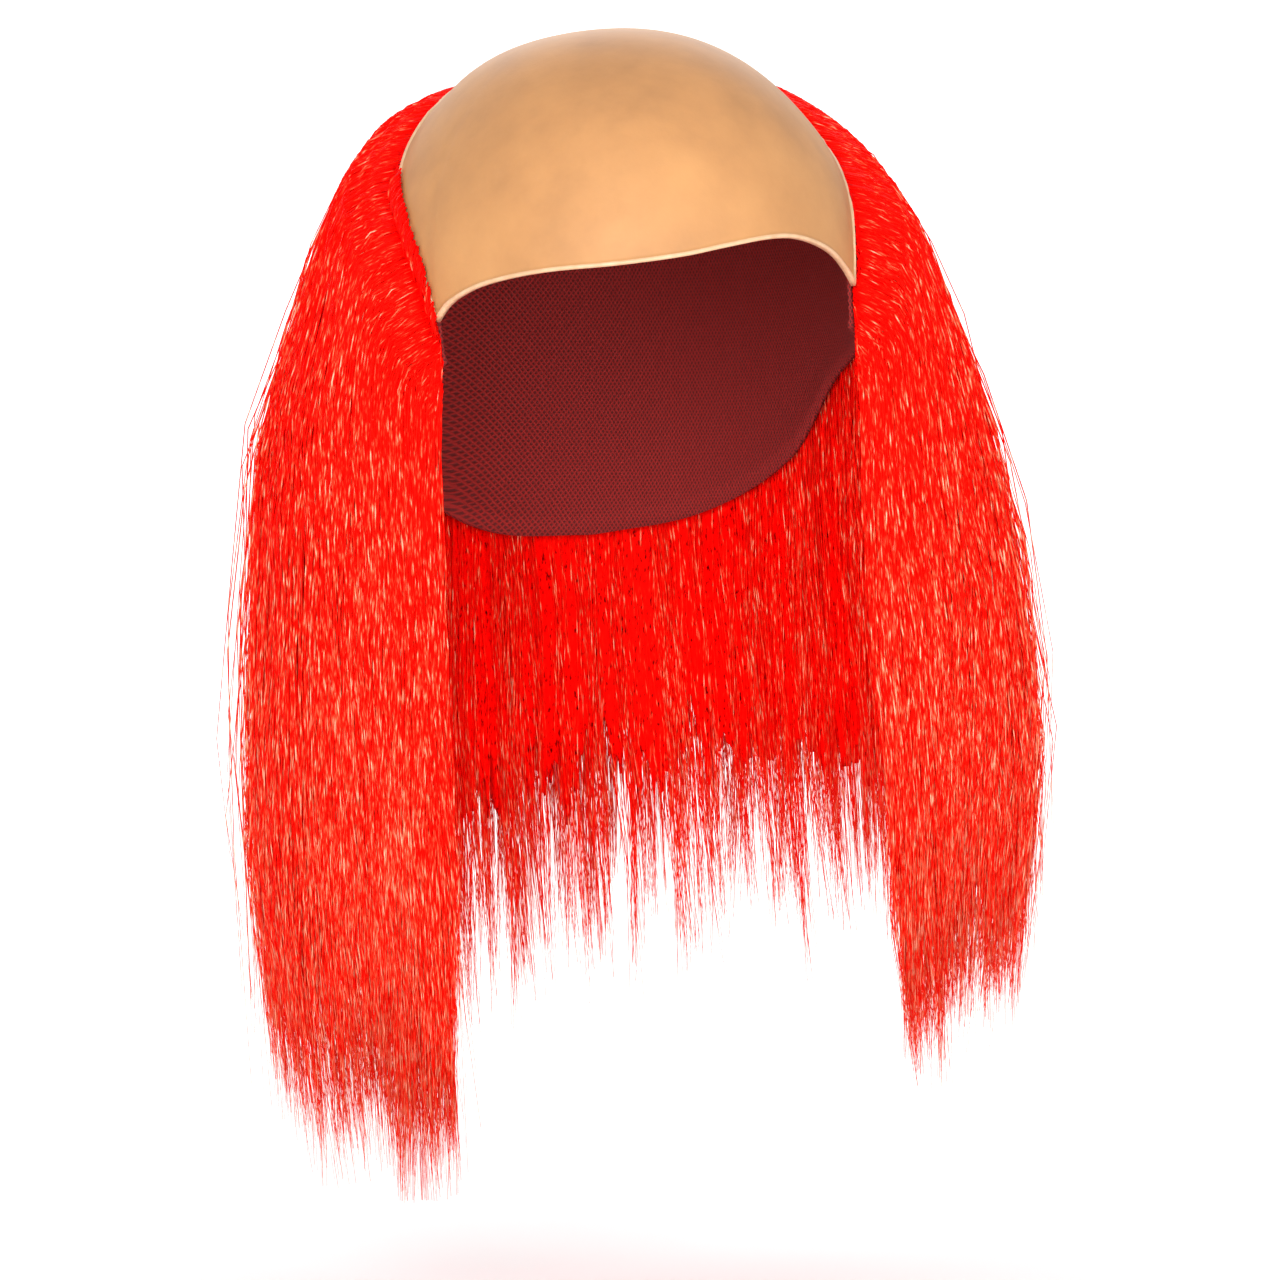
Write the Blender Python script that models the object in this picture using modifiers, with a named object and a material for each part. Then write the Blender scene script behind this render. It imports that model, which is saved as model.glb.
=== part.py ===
# Bald clown wig: a flesh-coloured bald dome with long straight red hair round its sides and back.
# The cap is modelled in the frame of the head that fills it and then tilted sideways with it,
# while the hair hangs plumb. The front faces -Y, up is +Z, and the origin is on the inside of the
# dome at the crown, where the head carries the wig. Lengths are metres.
import math
import random

import bmesh
import bpy
from mathutils import Matrix, Vector

# Driving sizes of the cap
HEAD_BREADTH = 0.1535      # inside the dome, across
HEAD_LENGTH = 0.196        # inside the dome, front to back
CROWN_HEIGHT = 0.078       # from the widest level up to the inside of the crown
HEAD_TILT = 5.5            # degrees that the crown leans to -X
FRONT_DROP = 0.0787        # crown down to the forehead edge
TEMPLE_ANGLE = 59.0        # degrees from the face to each temple corner
NAPE_DROP = 0.160          # crown down to the base cap's edge at the nape
NAPE_DRAW_SHARE = 0.06     # share of its reach that the cap draws in by the nape, at one radian
DOME_WALL = 0.0012
EDGE_BEAD = 0.0008         # extra thickness of the rolled edge
BEAD_WIDTH = 0.0024
BASE_WALL = 0.0012
SEAM_LAP = 0.012           # base cap under the dome's margin
SKIN_GAP = 0.0007          # clearance between the layers
EDGE_GAP = 0.0008          # clearance between the dome's edge and the hair roots

# Driving sizes of the hair
HAIR_DROP = 0.352          # crown down to the longest lock tips
SIDE_PUFF = 0.050          # how far the outside of the hair stands off the cap at the sides
BACK_PUFF = 0.026          # the same at the back
FRONT_PUFF = 0.0435        # the same at the front edges
FRONT_ROUND = 17.0         # degrees over which the front edges round off
FRONT_BLUNT = 0.42         # share of the stand-off that is left at the very front
FRONT_SWING = 14.0         # degrees that the stand-off leans back at the front edges
FULL_SHARE = 0.25          # share of the way to the back where the hair stands off furthest
TURN_POWER = 1.6           # above 1, the stand-off stays sideways for longer before it turns back
INNER_PUFF = 0.005         # how far the inside of the hair swings off below the cap
ROOT_THICKNESS = 0.0045
ROOT_SPRING = 0.003        # distance in which the hair lifts off its roots
LOCK_RELIEF = 0.0045       # height of a lock over the grooves beside it
LOCK_EVENNESS = 0.65       # height of the lowest lock as a share of the highest
TIP_NOTCH = 0.034          # how much further a lock reaches than the notch beside it
TIP_SCATTER = 0.35         # share of TIP_NOTCH by which the tips differ
RIGHT_TRIM = 0.024         # how much shorter the hair ends on the +X side than on the other
TIP_THICKNESS = 0.0016
TIP_TAPER = 0.17           # share of the strand over which the mass thins out
TIP_INSET = 0.35           # where the thinned tips lie, as a share of the way from inside to outside
PLUMB_DRIFT = 0.0125       # how far the hair drifts to +X over its whole drop
PARTING_GAP = 0.0005       # clearance between neighbouring masses of hair
SIDE_END_ANGLE = 118.0     # degrees from the face to where the side hair meets the back hair
SIDE_LOCKS = 11
BACK_LOCKS = 20
ROW_CROWDING = 1.3         # above 1, the rows lie closer together near the roots
ROOT_BAND_RADIUS = 0.0013
ROOT_BAND_BUMP = 0.0004
ROOT_BAND_EVENNESS = 0.5   # depth of the shallowest waist between knots as a share of the deepest
ROOT_BAND_KNOTS = 26
ROOT_BAND_END = 81.0       # degrees from the face to the band's upper end

# How finely the skins are divided
FOREHEAD_COLUMNS = 18
DOME_ROWS = 9
BASE_COLUMNS = 40
BASE_ROWS = 8
BASE_INSET_ANGLE = 1.0     # degrees by which the base cap stays behind each temple corner
HAIR_ROWS = 17
SLOPE_STEP = 0.5           # degrees each way over which the hairline's slope is read
HALF_TURN = 180.0
FULL_TURN = 360.0

# Forehead edge: place as a share of the temple angle, level as a share of FRONT_DROP
FOREHEAD_EDGE = (
    (-1.00, 1.150), (-0.93, 1.090), (-0.84, 1.050), (-0.72, 1.022), (-0.50, 1.004), (-0.20, 1.006),
    (0.05, 0.995), (0.22, 0.974), (0.42, 0.952), (0.55, 0.953), (0.68, 0.980), (0.80, 1.022),
    (0.90, 1.080), (1.00, 1.150))

# Hairline: share of the way from the temple to the back, level as a share of CROWN_HEIGHT
HAIRLINE = (
    (0.000, 1.160), (0.012, 1.030), (0.033, 0.915), (0.062, 0.820), (0.099, 0.715), (0.149, 0.615),
    (0.207, 0.500), (0.281, 0.335), (0.372, 0.195), (0.504, 0.130), (0.711, 0.135), (1.000, 0.155))

# Base cap's lower edge: share of the way from the temple to the back, share of NAPE_DROP
BASE_EDGE = (
    (0.000, 0.640), (0.091, 0.665), (0.240, 0.690), (0.372, 0.740), (0.521, 0.880), (0.752, 0.975),
    (1.000, 1.000))

# Hair outline: level as a share of HAIR_DROP, stand-off as a share of the puff
HAIR_PROFILE = (
    (0.000, 0.000), (0.040, 0.200), (0.060, 0.230), (0.080, 0.235), (0.105, 0.240), (0.143, 0.265),
    (0.175, 0.310), (0.210, 0.380), (0.250, 0.475), (0.300, 0.610), (0.340, 0.690), (0.420, 0.790),
    (0.520, 0.880), (0.650, 0.965), (0.800, 1.000), (1.000, 1.000))

# Drift of the hanging hair: level as a share of HAIR_DROP, share of PLUMB_DRIFT
DRIFT_PROFILE = (
    (0.000, 0.000), (0.200, 0.070), (0.334, 0.230), (0.404, 0.380), (0.500, 0.620), (0.605, 0.800),
    (0.700, 0.910), (0.800, 0.960), (1.000, 1.000))

# Lock tips: share of the way from the temple to the back, level as a share of HAIR_DROP
TIP_LINE = (
    (0.000, 0.965), (0.058, 1.000), (0.140, 0.985), (0.256, 0.935), (0.421, 0.900), (0.669, 0.880),
    (1.000, 0.865))


def material(name, colour, roughness):
    made = bpy.data.materials.new(name)
    made.use_nodes = True
    shader = made.node_tree.nodes["Principled BSDF"]
    shader.inputs["Base Color"].default_value = (*colour, 1.0)
    shader.inputs["Roughness"].default_value = roughness
    shader.inputs["Metallic"].default_value = 0.0
    return made


def table_value(table, place):
    """Smooth reading of a two-column table."""
    if place <= table[0][0]:
        return table[0][1]
    for row in range(len(table) - 1):
        left, right = table[row], table[row + 1]
        if place <= right[0]:
            before = table[max(row - 1, 0)]
            after = table[min(row + 2, len(table) - 1)]
            span = right[0] - left[0]
            slope_left = (right[1] - before[1]) / (right[0] - before[0])
            slope_right = (after[1] - left[1]) / (after[0] - left[0])
            t = (place - left[0]) / span
            return (left[1] * (1 + 2 * t) * (1 - t) ** 2 + slope_left * span * t * (1 - t) ** 2
                    + right[1] * t * t * (3 - 2 * t) - slope_right * span * t * t * (1 - t))
    return table[-1][1]


def from_face(angle):
    """Degrees between a direction and the face, the same on both sides."""
    turned = abs(angle) % FULL_TURN
    return min(turned, FULL_TURN - turned)


def way_back(angle):
    """Share of the way from the temple to the middle of the back."""
    return (from_face(angle) - TEMPLE_ANGLE) / (HALF_TURN - TEMPLE_ANGLE)


def hairline_level(angle):
    return CROWN_HEIGHT * table_value(HAIRLINE, way_back(angle))


def level_gap(angle):
    """Step in level that keeps EDGE_GAP square to the hairline, which is steep at the temples."""
    low = max(from_face(angle) - SLOPE_STEP, TEMPLE_ANGLE)
    high = min(from_face(angle) + SLOPE_STEP, HALF_TURN)
    arc = math.radians(high - low) * HEAD_BREADTH / 2
    slope = (hairline_level(high) - hairline_level(low)) / arc
    return EDGE_GAP * math.hypot(1.0, slope)


def dome_edge_level(angle):
    """Level of the dome's edge below the crown, all the way round."""
    if from_face(angle) >= TEMPLE_ANGLE:
        return hairline_level(angle)
    signed = (angle + HALF_TURN) % FULL_TURN - HALF_TURN
    return FRONT_DROP * table_value(FOREHEAD_EDGE, signed / TEMPLE_ANGLE)


def base_edge_level(angle):
    return NAPE_DROP * table_value(BASE_EDGE, way_back(angle))


def sweep_of(level):
    """Angle down from the crown that reaches a level; below the widest level it grows evenly."""
    if level < CROWN_HEIGHT:
        return math.acos(1.0 - level / CROWN_HEIGHT)
    return math.pi / 2 + (level - CROWN_HEIGHT) / CROWN_HEIGHT


TILT = Matrix.Rotation(-math.radians(HEAD_TILT), 4, "Y")
SEAT = TILT @ Vector((0.0, 0.0, CROWN_HEIGHT))


def skin_point(angle, sweep, offset):
    """Point on the head's form, a given offset outside it, in the world frame."""
    turn = math.radians(angle)
    if sweep <= math.pi / 2:
        reach = math.sin(sweep)
        height = (CROWN_HEIGHT + offset) * math.cos(sweep)
    else:
        below = sweep - math.pi / 2
        reach = 1.0 - NAPE_DRAW_SHARE * below * below
        height = -below * CROWN_HEIGHT
    point = Vector((
        (HEAD_BREADTH / 2 + offset) * reach * math.sin(turn),
        -(HEAD_LENGTH / 2 + offset) * reach * math.cos(turn),
        height))
    return TILT @ point - SEAT


def mesh_object(name, points, faces, finish, collection):
    mesh = bpy.data.meshes.new(name)
    mesh.from_pydata(points, [], faces)
    mesh.validate()
    shell = bmesh.new()
    shell.from_mesh(mesh)
    bmesh.ops.triangulate(shell, faces=[face for face in shell.faces if len(face.verts) > 3])
    shell.to_mesh(mesh)
    shell.free()
    mesh.shade_smooth()
    mesh.materials.append(finish)
    made = bpy.data.objects.new(name, mesh)
    collection.objects.link(made)
    return made


def add_solidify(piece, thickness, offset, group=None):
    wall = piece.modifiers.new("wall", "SOLIDIFY")
    wall.thickness = thickness
    wall.offset = offset
    wall.use_even_offset = False
    if group:
        wall.vertex_group = group
    return wall


def even_angles(start, end, count):
    return [start + (end - start) * step / count for step in range(count + 1)]


def dome_angles():
    """Columns of the dome: along the forehead evenly, along the hairline on every second lock line."""
    front = even_angles(-TEMPLE_ANGLE, TEMPLE_ANGLE, FOREHEAD_COLUMNS)
    right = even_angles(TEMPLE_ANGLE, SIDE_END_ANGLE, 2 * SIDE_LOCKS)[1::2]
    back = even_angles(SIDE_END_ANGLE, FULL_TURN - SIDE_END_ANGLE, 2 * BACK_LOCKS)[::2]
    left = even_angles(FULL_TURN - SIDE_END_ANGLE, FULL_TURN - TEMPLE_ANGLE, 2 * SIDE_LOCKS)[1::2]
    return front + right + back + left


def build_dome(finish, collection):
    """One moulded skin from the forehead edge to the hairline, its edge rolled into a bead."""
    angles = dome_angles()
    points = [skin_point(0.0, 0.0, 0.0)]
    bead_rows = []
    for angle in angles:
        edge = sweep_of(dome_edge_level(angle))
        bead = BEAD_WIDTH / CROWN_HEIGHT
        sweeps = [(edge - bead) * step / DOME_ROWS for step in range(1, DOME_ROWS + 1)]
        sweeps += [edge - bead / 2, edge]
        for sweep in sweeps:
            points.append(skin_point(angle, sweep, 0.0))
        bead_rows += [len(points) - 2, len(points) - 1]
    ring = DOME_ROWS + 2
    faces = []
    for column in range(len(angles)):
        here = 1 + column * ring
        there = 1 + ((column + 1) % len(angles)) * ring
        faces.append((0, here, there))
        for row in range(ring - 1):
            faces.append((here + row, here + row + 1, there + row + 1, there + row))
    dome = mesh_object("bald_dome", points, faces, finish, collection)
    thickness = DOME_WALL + EDGE_BEAD
    group = dome.vertex_groups.new(name="wall_share")
    group.add(list(range(len(points))), DOME_WALL / thickness, "REPLACE")
    group.add(bead_rows, 1.0, "REPLACE")
    add_solidify(dome, thickness, 1.0, "wall_share")
    return dome


def build_base(finish, collection):
    """Plain cap under the hair, from the dome's margin down to the ears and the nape."""
    start = TEMPLE_ANGLE + BASE_INSET_ANGLE
    angles = even_angles(start, FULL_TURN - start, BASE_COLUMNS)
    points = []
    for angle in angles:
        top = sweep_of(hairline_level(angle)) - SEAM_LAP / CROWN_HEIGHT
        bottom = sweep_of(base_edge_level(angle))
        for row in range(BASE_ROWS + 1):
            points.append(skin_point(angle, top + (bottom - top) * row / BASE_ROWS, -SKIN_GAP))
    faces = []
    for column in range(len(angles) - 1):
        here = column * (BASE_ROWS + 1)
        there = here + BASE_ROWS + 1
        for row in range(BASE_ROWS):
            faces.append((here + row, here + row + 1, there + row + 1, there + row))
    base = mesh_object("base_cap", points, faces, finish, collection)
    add_solidify(base, BASE_WALL, -1.0)
    return base


def puff_direction(angle):
    """Way in which the hair stands off: sideways at the temples, backwards at the back."""
    share = way_back(angle)
    quarter = HALF_TURN / 2
    turn = math.radians(quarter * share ** TURN_POWER + FRONT_SWING * (1.0 - share) ** 2)
    side = 1.0 if angle < HALF_TURN else -1.0
    return Vector((side * math.cos(turn), math.sin(turn), 0.0))


def puff_size(angle):
    """How far the hair stands off: most at the sides, rounded off at the front edges."""
    share = way_back(angle)
    if share < FULL_SHARE:
        near = min((from_face(angle) - TEMPLE_ANGLE) / FRONT_ROUND, 1.0)
        round_off = FRONT_BLUNT + (1.0 - FRONT_BLUNT) * math.sqrt(near * (2.0 - near))
        return (FRONT_PUFF + (SIDE_PUFF - FRONT_PUFF) * share / FULL_SHARE) * round_off
    blend = (share - FULL_SHARE) / (1.0 - FULL_SHARE)
    return SIDE_PUFF + (BACK_PUFF - SIDE_PUFF) * math.sin(blend * math.pi / 2)


def hang_point(angle, level, offset, leave_level):
    """Point that follows the tilted cap down to leave_level and drops plumb below it."""
    if level <= leave_level:
        return skin_point(angle, sweep_of(level), offset)
    leave = skin_point(angle, sweep_of(leave_level), offset)
    return leave + Vector((0.0, 0.0, leave_level - level))


def hair_section(angle, level, root_level, tip_level, ridge):
    """Inner and outer point of the hair at one level of one lock line."""
    run = level - root_level
    share = run / (tip_level - root_level)
    lift = 1.0 - math.exp(-run / ROOT_SPRING)
    stand_off = table_value(HAIR_PROFILE, min(level / HAIR_DROP, 1.0)) * puff_size(angle)
    relief = LOCK_RELIEF * ridge * lift
    drift = Vector((PLUMB_DRIFT * table_value(DRIFT_PROFILE, level / HAIR_DROP) * lift, 0.0, 0.0))
    way = puff_direction(angle)
    outer = hang_point(angle, level, ROOT_THICKNESS, CROWN_HEIGHT)
    outer += way * (stand_off * lift + relief) + drift
    edge = base_edge_level(angle)
    inner = hang_point(angle, level, SKIN_GAP * lift, edge)
    below = max(0.0, min(1.0, (level - edge) / (HAIR_DROP - edge)))
    inner += way * INNER_PUFF * below + drift * below
    thin = max(0.0, (share - 1.0 + TIP_TAPER) / TIP_TAPER)
    if thin > 0.0:
        across = outer - inner
        across.z = 0.0
        keep = 1.0 - thin * thin * (3.0 - 2.0 * thin)
        width = max(across.length * keep, TIP_THICKNESS)
        middle = inner + across * TIP_INSET * (1.0 - keep)
        inner = middle
        outer = middle + across.normalized() * width + Vector((0.0, 0.0, outer.z - inner.z))
    return inner, outer


def build_hair(name, start, end, locks, seed, finish, collection):
    """A mass of hair: locks side by side on one backing, each ending in its own point."""
    dice = random.Random(seed)
    columns = []
    for index, angle in enumerate(even_angles(start, end, 2 * locks)):
        on_ridge = index % 2
        strength = on_ridge * dice.uniform(LOCK_EVENNESS, 1.0)
        root = hairline_level(angle) + level_gap(angle)
        notch = TIP_NOTCH * (1 - on_ridge) + TIP_NOTCH * TIP_SCATTER * dice.random()
        tip = HAIR_DROP * table_value(TIP_LINE, way_back(angle)) - notch
        tip -= RIGHT_TRIM * max(0.0, math.sin(math.radians(angle)))
        section = []
        for row in range(HAIR_ROWS + 1):
            share = (row / HAIR_ROWS) ** ROW_CROWDING
            level = root + (tip - root) * share
            section.append(hair_section(angle, level, root, tip, strength))
        columns.append(section)
    points = []
    for section in columns:
        points += [outer for inner, outer in section]
        points += [inner for inner, outer in section]
    rows = HAIR_ROWS + 1
    faces = []
    for column in range(len(columns) - 1):
        here = column * 2 * rows
        there = here + 2 * rows
        for row in range(rows - 1):
            faces.append((here + row, here + row + 1, there + row + 1, there + row))
            faces.append((here + rows + row, there + rows + row, there + rows + row + 1,
                          here + rows + row + 1))
        faces.append((here, there, there + rows, here + rows))
        last = rows - 1
        faces.append((here + last, here + rows + last, there + rows + last, there + last))
    last_column = (len(columns) - 1) * 2 * rows
    for row in range(rows - 1):
        faces.append((row, rows + row, rows + row + 1, row + 1))
        faces.append((last_column + row, last_column + row + 1, last_column + rows + row + 1,
                      last_column + rows + row))
    return mesh_object(name, points, faces, finish, collection)


def build_root_band(finish, collection):
    """Row of knots where the hair is tied in over the dome's edge, on the -X side."""
    dice = random.Random(5)
    path = bpy.data.curves.new("root_band", "CURVE")
    path.dimensions = "3D"
    path.bevel_depth = ROOT_BAND_RADIUS
    path.bevel_resolution = 1
    path.use_fill_caps = True
    spline = path.splines.new("POLY")
    count = 2 * ROOT_BAND_KNOTS
    spline.points.add(count)
    height = DOME_WALL + EDGE_BEAD + SKIN_GAP + ROOT_BAND_RADIUS
    inset = ROOT_BAND_RADIUS + EDGE_GAP
    for step in range(count + 1):
        angle = -(TEMPLE_ANGLE + (ROOT_BAND_END - TEMPLE_ANGLE) * step / count)
        level = hairline_level(angle) - inset
        point = skin_point(angle, sweep_of(level), height)
        spline.points[step].co = (*point, 1.0)
        waist = ROOT_BAND_BUMP * (step % 2) * dice.uniform(ROOT_BAND_EVENNESS, 1.0)
        spline.points[step].radius = 1.0 - waist / ROOT_BAND_RADIUS
    path.materials.append(finish)
    band = bpy.data.objects.new("root_band", path)
    collection.objects.link(band)
    return band


def clear_scene():
    for item in list(bpy.data.objects):
        bpy.data.objects.remove(item, do_unlink=True)


def main():
    clear_scene()
    collection = bpy.data.collections.new("bald_clown_wig")
    bpy.context.scene.collection.children.link(collection)
    latex = material("dome_latex", (0.85, 0.50, 0.24), 0.55)
    net = material("base_net", (0.30, 0.02, 0.02), 0.85)
    hair = material("red_hair", (0.90, 0.01, 0.01), 0.45)
    roots = material("root_knots", (0.45, 0.01, 0.01), 0.6)
    build_dome(latex, collection)
    build_base(net, collection)
    turn = math.degrees(PARTING_GAP / (HEAD_BREADTH / 2))
    left_end = FULL_TURN - SIDE_END_ANGLE
    build_hair("hair_right", TEMPLE_ANGLE, SIDE_END_ANGLE - turn, SIDE_LOCKS, 11, hair, collection)
    build_hair("hair_back", SIDE_END_ANGLE, left_end, BACK_LOCKS, 12, hair, collection)
    build_hair("hair_left", left_end + turn, FULL_TURN - TEMPLE_ANGLE, SIDE_LOCKS, 13, hair, collection)
    build_root_band(roots, collection)


main()
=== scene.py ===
# Looks of the bald clown wig: latex dome, net cap, and long red hair as about 13,600 crimped
# strands over fuller cores. Lengths are metres and angles are degrees, in the CAD's frame: the
# front faces -Y, up is +Z, and the origin is on the inside of the dome at the crown. Angles round
# the head start at the face and grow towards +X. A level is a distance below the crown.
import math

import bpy
import numpy as np
from mathutils import Matrix, Vector


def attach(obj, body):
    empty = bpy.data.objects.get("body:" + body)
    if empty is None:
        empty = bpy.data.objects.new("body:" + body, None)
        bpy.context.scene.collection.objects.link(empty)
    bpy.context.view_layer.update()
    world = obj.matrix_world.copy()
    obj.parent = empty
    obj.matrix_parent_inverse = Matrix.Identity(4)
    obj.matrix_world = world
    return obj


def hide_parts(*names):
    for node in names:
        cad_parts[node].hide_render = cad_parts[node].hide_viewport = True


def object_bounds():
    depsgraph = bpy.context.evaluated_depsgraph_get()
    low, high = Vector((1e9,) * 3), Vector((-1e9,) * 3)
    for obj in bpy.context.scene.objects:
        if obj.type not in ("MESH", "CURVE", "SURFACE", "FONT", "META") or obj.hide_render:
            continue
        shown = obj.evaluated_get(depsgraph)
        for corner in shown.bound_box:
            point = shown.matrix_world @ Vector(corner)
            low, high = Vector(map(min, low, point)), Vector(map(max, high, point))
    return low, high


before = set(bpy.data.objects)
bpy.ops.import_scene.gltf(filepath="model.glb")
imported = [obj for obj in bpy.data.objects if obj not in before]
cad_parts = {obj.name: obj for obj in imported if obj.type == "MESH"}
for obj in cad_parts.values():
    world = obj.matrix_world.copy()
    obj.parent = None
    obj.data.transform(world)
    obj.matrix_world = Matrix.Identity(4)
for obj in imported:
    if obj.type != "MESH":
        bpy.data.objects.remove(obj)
cad_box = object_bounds()

# Sizes of the cap, as in the CAD
HEAD_BREADTH = 0.1535
HEAD_LENGTH = 0.196
CROWN_HEIGHT = 0.078
HEAD_TILT = 5.5
FRONT_DROP = 0.0787
TEMPLE_ANGLE = 59.0
NAPE_DROP = 0.160
NAPE_DRAW_SHARE = 0.06
DOME_WALL = 0.0012
BASE_WALL = 0.0012
SEAM_LAP = 0.012
SKIN_GAP = 0.0007

# Sizes of the hair, as in the CAD
HAIR_DROP = 0.352
SIDE_PUFF = 0.050
BACK_PUFF = 0.026
FRONT_PUFF = 0.0435
FRONT_ROUND = 17.0
FRONT_BLUNT = 0.42
FRONT_SWING = 14.0
FULL_SHARE = 0.25
TURN_POWER = 1.6
INNER_PUFF = 0.005
ROOT_THICKNESS = 0.0045
ROOT_SPRING = 0.003
PLUMB_DRIFT = 0.0125
SIDE_END_ANGLE = 118.0
RIGHT_TRIM = 0.024

FOREHEAD_EDGE = (
    (-1.00, 1.150), (-0.93, 1.090), (-0.84, 1.050), (-0.72, 1.022), (-0.50, 1.004), (-0.20, 1.006),
    (0.05, 0.995), (0.22, 0.974), (0.42, 0.952), (0.55, 0.953), (0.68, 0.980), (0.80, 1.022),
    (0.90, 1.080), (1.00, 1.150))
HAIRLINE = (
    (0.000, 1.160), (0.012, 1.030), (0.033, 0.915), (0.062, 0.820), (0.099, 0.715), (0.149, 0.615),
    (0.207, 0.500), (0.281, 0.335), (0.372, 0.195), (0.504, 0.130), (0.711, 0.135), (1.000, 0.155))

# Base cap's lower edge: share of the way from the temple to the back, share of NAPE_DROP
BASE_EDGE = (
    (0.000, 0.640), (0.091, 0.665), (0.240, 0.690), (0.372, 0.740), (0.521, 0.880), (0.752, 0.975),
    (1.000, 1.000))

# Hair outline: level as a share of HAIR_DROP, stand-off as a share of the puff
HAIR_PROFILE = (
    (0.000, 0.000), (0.040, 0.200), (0.060, 0.230), (0.080, 0.235), (0.105, 0.240), (0.143, 0.265),
    (0.175, 0.310), (0.210, 0.380), (0.250, 0.475), (0.300, 0.610), (0.340, 0.690), (0.420, 0.790),
    (0.520, 0.880), (0.650, 0.965), (0.800, 1.000), (1.000, 1.000))

# Drift of the hanging hair: level as a share of HAIR_DROP, share of PLUMB_DRIFT
DRIFT_PROFILE = (
    (0.000, 0.000), (0.200, 0.070), (0.334, 0.230), (0.404, 0.380), (0.500, 0.620), (0.605, 0.800),
    (0.700, 0.910), (0.800, 0.960), (1.000, 1.000))

# Lock tips: share of the way from the temple to the back, level as a share of HAIR_DROP
TIP_LINE = (
    (0.000, 0.965), (0.058, 1.000), (0.140, 0.985), (0.256, 0.935), (0.421, 0.900), (0.669, 0.880),
    (1.000, 0.865))

CURVE_STEPS = 24           # readings of a table between two of its rows
SLANT_STEP = 0.5           # degrees each way over which an edge's slant is read
SLANT_LIMIT = 2.8

dice = np.random.default_rng(20)


def smooth_table(table):
    """Dense smooth reading of a two-column table, for np.interp."""
    places, values = [], []
    for row in range(len(table) - 1):
        left, right = table[row], table[row + 1]
        before = table[max(row - 1, 0)]
        after = table[min(row + 2, len(table) - 1)]
        span = right[0] - left[0]
        slope_left = (right[1] - before[1]) / (right[0] - before[0])
        slope_right = (after[1] - left[1]) / (after[0] - left[0])
        t = np.linspace(0.0, 1.0, CURVE_STEPS, endpoint=False)
        places.append(left[0] + span * t)
        values.append(left[1] * (1 + 2 * t) * (1 - t) ** 2 + slope_left * span * t * (1 - t) ** 2
                      + right[1] * t * t * (3 - 2 * t) - slope_right * span * t * t * (1 - t))
    places.append([table[-1][0]])
    values.append([table[-1][1]])
    return np.concatenate(places), np.concatenate(values)


CURVES = {name: smooth_table(table) for name, table in (
    ("forehead", FOREHEAD_EDGE), ("hairline", HAIRLINE), ("base", BASE_EDGE),
    ("profile", HAIR_PROFILE), ("drift", DRIFT_PROFILE), ("tips", TIP_LINE))}


def curve(name, place):
    """Value of a smoothed table at a place."""
    return np.interp(place, *CURVES[name])


def from_face(angle):
    """Angle from the face, 0 to 180 either way round."""
    turned = np.abs(angle) % 360.0
    return np.minimum(turned, 360.0 - turned)


def way_back(angle):
    """Share of the way from the temple to the middle of the back."""
    return (from_face(angle) - TEMPLE_ANGLE) / (180.0 - TEMPLE_ANGLE)


def hairline_level(angle):
    return CROWN_HEIGHT * curve("hairline", way_back(angle))


def dome_edge_level(angle):
    """Level of the dome's edge: the forehead in front, the hairline behind the temples."""
    signed = (np.asarray(angle) + 180.0) % 360.0 - 180.0
    front = FRONT_DROP * curve("forehead", signed / TEMPLE_ANGLE)
    return np.where(from_face(angle) >= TEMPLE_ANGLE, hairline_level(angle), front)


def base_edge_level(angle):
    return NAPE_DROP * curve("base", way_back(angle))


def tip_level(angle, side):
    """Level of the lock tips. side is 1 at +X, where they are trimmed, and -1 at -X."""
    level = HAIR_DROP * curve("tips", way_back(angle))
    if side > 0:
        level = level - RIGHT_TRIM * np.maximum(np.sin(np.radians(from_face(angle))), 0.0)
    return level


def sweep_of(level):
    """Angle along a meridian from the crown, at which the head's form has a level."""
    level = np.asarray(level, dtype=float)
    upper = np.arccos(np.clip(1.0 - level / CROWN_HEIGHT, -1.0, 1.0))
    lower = math.pi / 2 + (level - CROWN_HEIGHT) / CROWN_HEIGHT
    return np.where(level < CROWN_HEIGHT, upper, lower)


def edge_slant(angle, level_of):
    """How much further an edge is along a meridian than straight across."""
    rise = level_of(angle + SLANT_STEP) - level_of(angle - SLANT_STEP)
    across = math.radians(2 * SLANT_STEP) * HEAD_BREADTH / 2 * np.sin(sweep_of(level_of(angle)))
    return np.minimum(np.hypot(1.0, rise / across), SLANT_LIMIT)


TILT = np.array(Matrix.Rotation(-math.radians(HEAD_TILT), 3, "Y"))
SEAT = TILT @ np.array((0.0, 0.0, CROWN_HEIGHT))


def skin_point(angle, sweep, offset):
    """Points on the head's form, a given offset outside it."""
    turn = np.radians(angle)
    below = np.maximum(sweep - math.pi / 2, 0.0)
    reach = np.where(below > 0.0, 1.0 - NAPE_DRAW_SHARE * below * below, np.sin(sweep))
    height = np.where(below > 0.0, -below * CROWN_HEIGHT, (CROWN_HEIGHT + offset) * np.cos(sweep))
    local = np.stack([
        (HEAD_BREADTH / 2 + offset) * reach * np.sin(turn),
        -(HEAD_LENGTH / 2 + offset) * reach * np.cos(turn),
        height * np.ones_like(reach)], axis=-1)
    return local @ TILT.T - SEAT


def crown_point(offset):
    """Point at the crown, a given offset outside the head's form."""
    return TILT @ np.array((0.0, 0.0, CROWN_HEIGHT + offset)) - SEAT


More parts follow.
